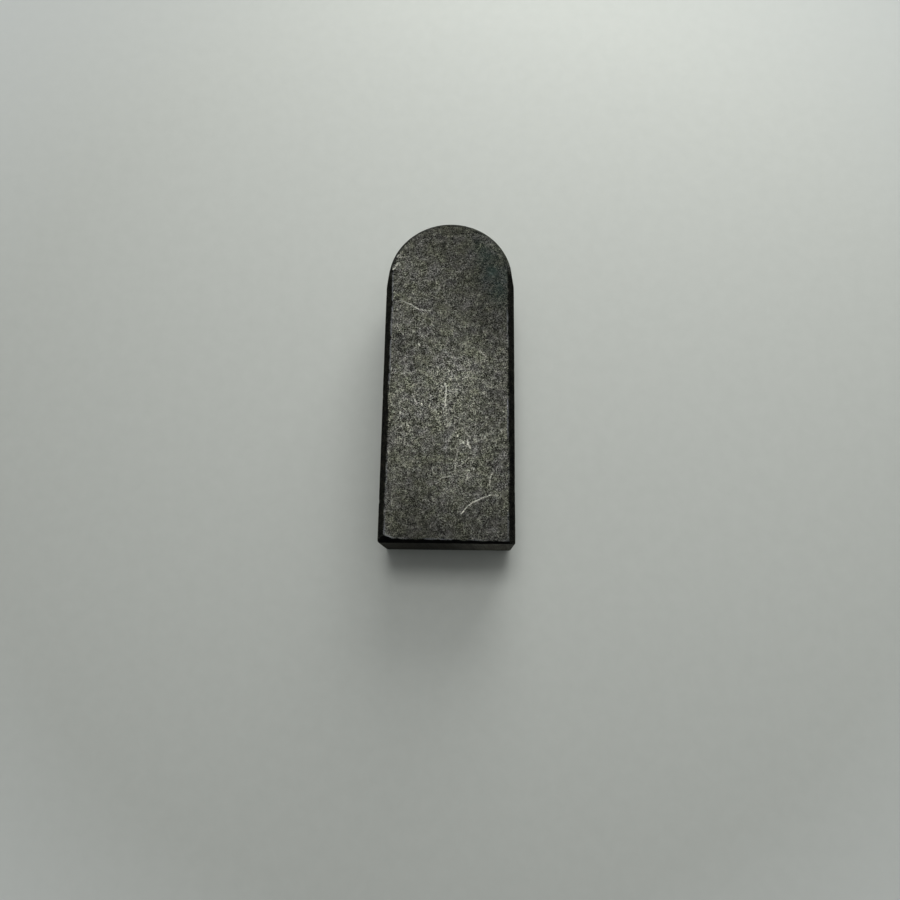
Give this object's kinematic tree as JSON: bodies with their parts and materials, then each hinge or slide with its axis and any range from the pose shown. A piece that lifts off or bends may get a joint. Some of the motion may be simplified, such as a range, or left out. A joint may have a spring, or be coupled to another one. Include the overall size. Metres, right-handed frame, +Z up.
{
  "type": "parallel key",
  "caption": "Steel parallel key with one round end and one square end, chamfered along its long edges, for locking a hub to a shaft.",
  "frame": {"origin": "middle of the bottom face's box, on the surface that the key lies on", "axes": "+X across the key from flank to flank, +Y along the key from its square end to its round end, +Z up from the bottom face to the top face"},
  "size_m": [0.014, 0.0355, 0.009],
  "materials": {
    "steel": "dull, finely pitted grey steel, darker on the chamfers and ends"
  },
  "bodies": {
    "root": {"parallel_key": "steel"}
  },
  "joints": []
}
